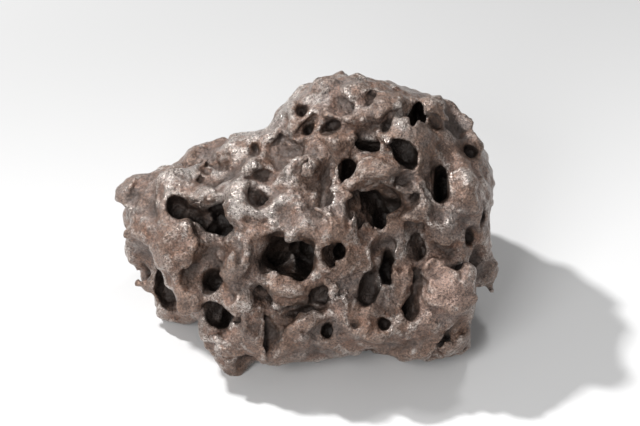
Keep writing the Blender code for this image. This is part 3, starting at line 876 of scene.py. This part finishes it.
def crust_material():
    material = bpy.data.materials.new("iron_crust")
    nodes = Nodes(material)
    place = nodes.add("ShaderNodeTexCoord").outputs["Object"]
    grain = nodes.noise(place, *GRAIN_NOISE)
    speckle = nodes.noise(place, *SPECKLE_NOISE)
    # Wear, together with the painted sheen of the lit slope. It lightens the colour and makes the crust more
    # metallic and smoother.
    wear = bare_metal_and_sheen(nodes, place, grain)
    colour = crust_colour(nodes, place, grain, speckle)
    nodes.put(nodes.shader.inputs["Base Color"], nodes.mix(wear, colour, BARE_IRON))
    nodes.put(nodes.shader.inputs["Metallic"], nodes.fade(wear, METAL))
    rough = nodes.fade(nodes.noise(place, *GLOSS_NOISE), ROUGHNESS)
    nodes.put(nodes.shader.inputs["Roughness"], nodes.math("MULTIPLY", rough, nodes.fade(wear, SMOOTHED)))
    nodes.shader.inputs["Specular IOR Level"].default_value = SPECULAR
    nodes.shader.inputs["Coat Weight"].default_value = COAT
    nodes.shader.inputs["Coat Roughness"].default_value = COAT_ROUGHNESS

    pits = nodes.add("ShaderNodeTexVoronoi", {"Vector": place, "Scale": PIT_SCALE}, feature="SMOOTH_F1")
    normal = nodes.bump(nodes.noise(place, *BUMP_NOISE), BUMP_HEIGHT)
    nodes.put(nodes.shader.inputs["Coat Normal"], normal)
    normal = nodes.bump(pits.outputs["Distance"], PIT_HEIGHT, PIT_STRENGTH, normal)
    normal = nodes.bump(speckle, SPECKLE_HEIGHT, before=normal)
    nodes.put(nodes.shader.inputs["Normal"], normal)
    return material


def dress_lump():
    lump = shape_lump(SKIN_STEP, SKIN_ROUNDS)
    thin_out(lump)
    placed = stand_on_floor(lump)
    measure_relief(lump)
    measure_openness(lump)
    lump.data.materials.clear()
    lump.data.materials.append(crust_material())
    for face in lump.data.polygons:
        face.use_smooth = True
        face.material_index = 0
    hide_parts("meteorite")
    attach(lump, "root")
    return placed


# The pale paper, painted darker towards the back and the left as shade of the studio's light: its lightness
# near the front on the right and far behind on the left, and where these are.
FLOOR_SIZE = 8.0
PAPER_FRONT, PAPER_BACK = (0.77, 0.77, 0.77), (0.46, 0.46, 0.46)
PAPER_RUN = (-0.20, 0.42)  # m along Y
PAPER_SLANT = -0.3  # m that the run shifts for each metre along X
PAPER_ROUGHNESS, PAPER_SPECULAR = 0.9, 0.1


def lay_floor():
    mesh = bpy.data.meshes.new("floor")
    half = FLOOR_SIZE / 2
    corners = [(-half, -half, 0), (half, -half, 0), (half, half, 0), (-half, half, 0)]
    mesh.from_pydata(corners, [], [(0, 1, 2, 3)])
    floor = bpy.data.objects.new("floor", mesh)
    bpy.context.scene.collection.objects.link(floor)
    material = bpy.data.materials.new("pale_paper")
    nodes = Nodes(material)
    place = nodes.add("ShaderNodeTexCoord").outputs["Object"]
    parts = nodes.add("ShaderNodeSeparateXYZ", {"Vector": place}).outputs
    depth = nodes.math("ADD", parts["Y"], nodes.math("MULTIPLY", parts["X"], PAPER_SLANT))
    # Painted shade: the paper darkens towards the back and the left.
    shade = nodes.mix(nodes.ramp(depth, *PAPER_RUN), PAPER_FRONT, PAPER_BACK)
    nodes.put(nodes.shader.inputs["Base Color"], shade)
    nodes.shader.inputs["Roughness"].default_value = PAPER_ROUGHNESS
    nodes.shader.inputs["Specular IOR Level"].default_value = PAPER_SPECULAR
    mesh.materials.append(material)


# Studio lights: name, place in metres, size in metres, power in watts.
LIGHTS = (
    ("key", (-1.05, 0.68, 1.55), 0.11, 43.0),
    ("back", (0.42, 0.84, 2.1), 0.25, 10.0),
    ("front", (-0.75, -1.35, 1.3), 1.0, 20.0),
)
ROOM = 0.28  # strength of the light from all around


def light_studio(middle):
    for name, place, size, power in LIGHTS:
        lamp = bpy.data.lights.new(name, "AREA")
        lamp.size = size
        lamp.energy = power
        light = bpy.data.objects.new(name, lamp)
        light.location = place
        light.rotation_euler = (middle - light.location).to_track_quat("-Z", "Y").to_euler()
        bpy.context.scene.collection.objects.link(light)
    world = bpy.data.worlds.new("room")
    world.use_nodes = True
    world.node_tree.nodes["Background"].inputs["Strength"].default_value = ROOM
    world.node_tree.nodes["Background"].inputs["Color"].default_value = (1, 1, 1, 1)
    bpy.context.scene.world = world


# The photograph's frame: pixels, and the size of one at the drawing plane.
PHOTO_WIDTH, PHOTO_HEIGHT = 640, 426
PIXEL = 0.8  # mm
ORIGIN_PIXEL = (306, 222)  # where the drawing plane's origin is in the photograph
CAMERA_DISTANCE = 3.5  # m
SENSOR = 36.0  # mm


def place_camera(placed):
    camera = bpy.data.cameras.new("camera")
    camera.sensor_width = SENSOR
    camera.lens = SENSOR * CAMERA_DISTANCE / (PHOTO_WIDTH * PIXEL * MM)
    across = (PHOTO_WIDTH / 2 - ORIGIN_PIXEL[0]) * PIXEL * MM
    up = (ORIGIN_PIXEL[1] - PHOTO_HEIGHT / 2) * PIXEL * MM
    eye = bpy.data.objects.new("camera", camera)
    eye.rotation_euler = placed.to_euler()
    eye.location = placed @ Vector((across, up, CAMERA_DISTANCE))
    bpy.context.scene.collection.objects.link(eye)
    bpy.context.scene.camera = eye


def main():
    placed = dress_lump()
    lay_floor()
    light_studio(Vector((0, 0, ORIGIN_HEIGHT * MM)))
    place_camera(placed)
    bpy.context.scene.view_settings.view_transform = "Standard"


main()
